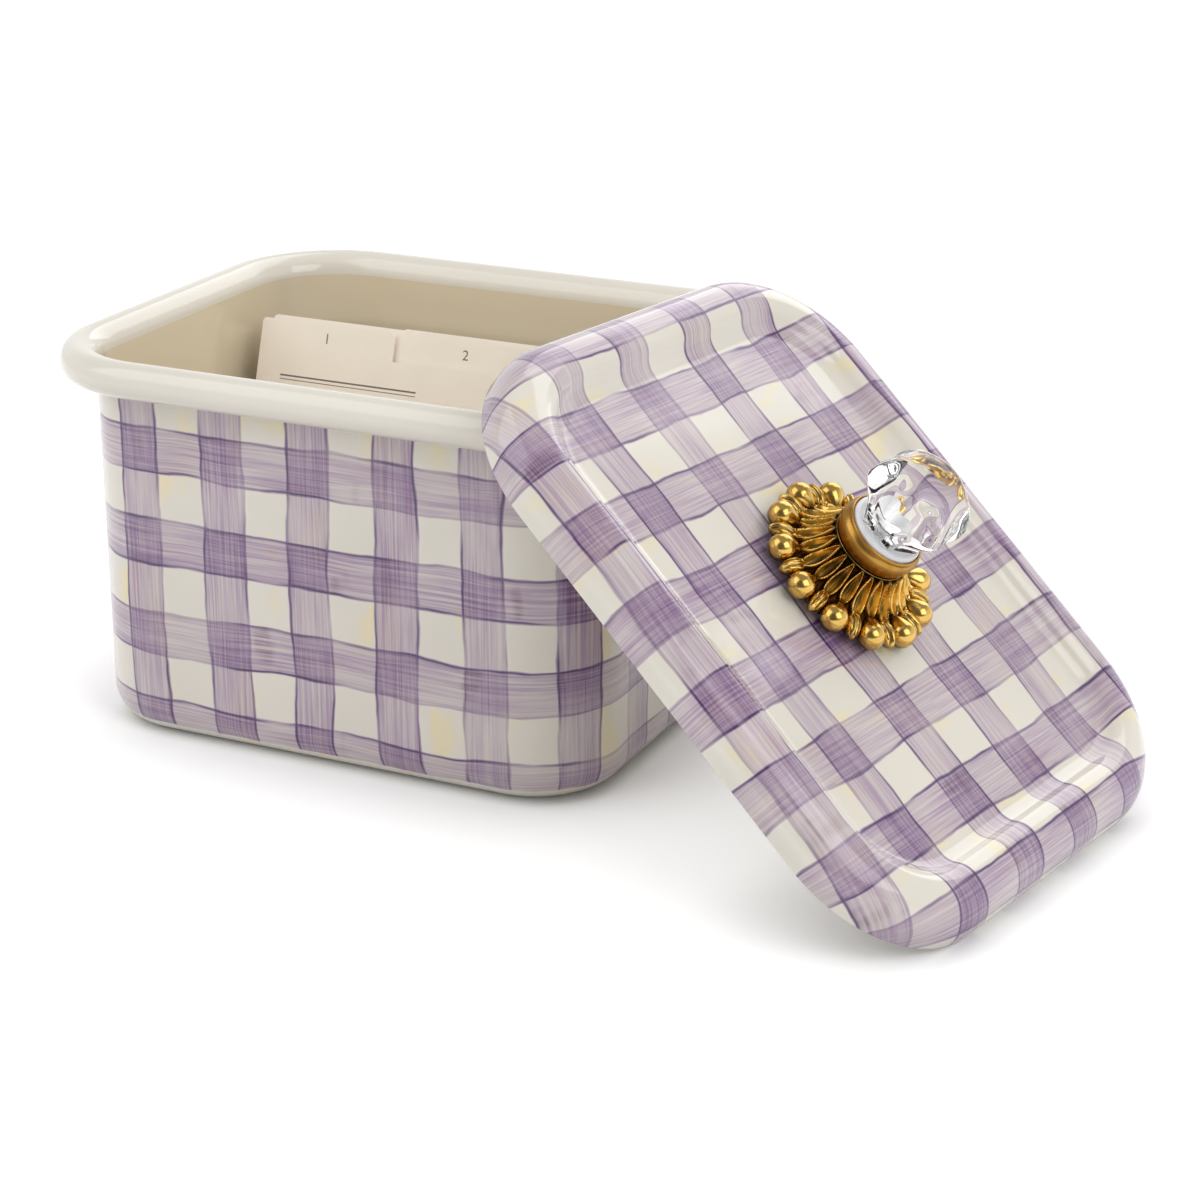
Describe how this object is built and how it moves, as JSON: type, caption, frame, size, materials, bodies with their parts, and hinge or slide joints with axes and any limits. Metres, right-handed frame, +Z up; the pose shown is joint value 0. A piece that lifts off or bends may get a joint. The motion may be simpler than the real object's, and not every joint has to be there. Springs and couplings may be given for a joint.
{
  "type": "recipe card box",
  "caption": "Rolled-rim sheet metal box for recipe cards with a lift-off lid that has a glass knob on a cast plate, tabbed divider cards and a pack of plain cards.",
  "frame": {"origin": "centre of the box's underside, on the surface it stands on", "axes": "+X along the box's long side to the leaning lid, +Y from the front of the box to its back, +Z up"},
  "size_m": [0.3376, 0.2132, 0.1433],
  "materials": {
    "tub_enamel": "gloss enamel, cream with hand-brushed lavender",
    "lid_enamel": "gloss enamel, cream with hand-brushed lavender",
    "cast_brass": "polished cast, dark in the recesses",
    "collar_brass": "smooth, coppery",
    "white_disc": "satin white",
    "clear_glass": "clear pressed glass",
    "zinc_steel": "zinc plated",
    "divider_card": "smooth ivory card",
    "card_stock": "matt ivory card"
  },
  "bodies": {
    "box": {"tub": "tub_enamel"},
    "lid": {"lid_pan": "lid_enamel", "escutcheon": "cast_brass", "collar_ring": "collar_brass", "seat_disc": "white_disc", "glass_knob": "clear_glass", "knob_insert": "white_disc", "knob_stud": "zinc_steel", "stud_washer": "zinc_steel", "stud_nut": "zinc_steel"},
    "divider_1_body": {"divider_1": "divider_card"},
    "divider_2_body": {"divider_2": "divider_card"},
    "divider_3_body": {"divider_3": "divider_card"},
    "divider_4_body": {"divider_4": "divider_card"},
    "divider_5_body": {"divider_5": "divider_card"},
    "divider_6_body": {"divider_6": "divider_card"},
    "cards": {"recipe_cards": "card_stock"}
  },
  "joints": [
    {"name": "lid_lift", "type": "slide", "parent": "box", "child": "lid", "axis": [0, 0, 1], "range_m": [0, 0.16]},
    {"name": "divider_1_lift", "type": "slide", "parent": "box", "child": "divider_1_body", "axis": [0, 0.3074, 0.9516], "range_m": [0, 0.135]},
    {"name": "divider_2_lift", "type": "slide", "parent": "box", "child": "divider_2_body", "axis": [0, 0.3074, 0.9516], "range_m": [0, 0.135]},
    {"name": "divider_3_lift", "type": "slide", "parent": "box", "child": "divider_3_body", "axis": [0, 0.3074, 0.9516], "range_m": [0, 0.135]},
    {"name": "divider_4_lift", "type": "slide", "parent": "box", "child": "divider_4_body", "axis": [0, 0.3074, 0.9516], "range_m": [0, 0.135]},
    {"name": "divider_5_lift", "type": "slide", "parent": "box", "child": "divider_5_body", "axis": [0, 0.3074, 0.9516], "range_m": [0, 0.135]},
    {"name": "divider_6_lift", "type": "slide", "parent": "box", "child": "divider_6_body", "axis": [0, 0.3074, 0.9516], "range_m": [0, 0.135]},
    {"name": "cards_lift", "type": "slide", "parent": "box", "child": "cards", "axis": [0, 0.3074, 0.9516], "range_m": [0, 0.135]}
  ]
}
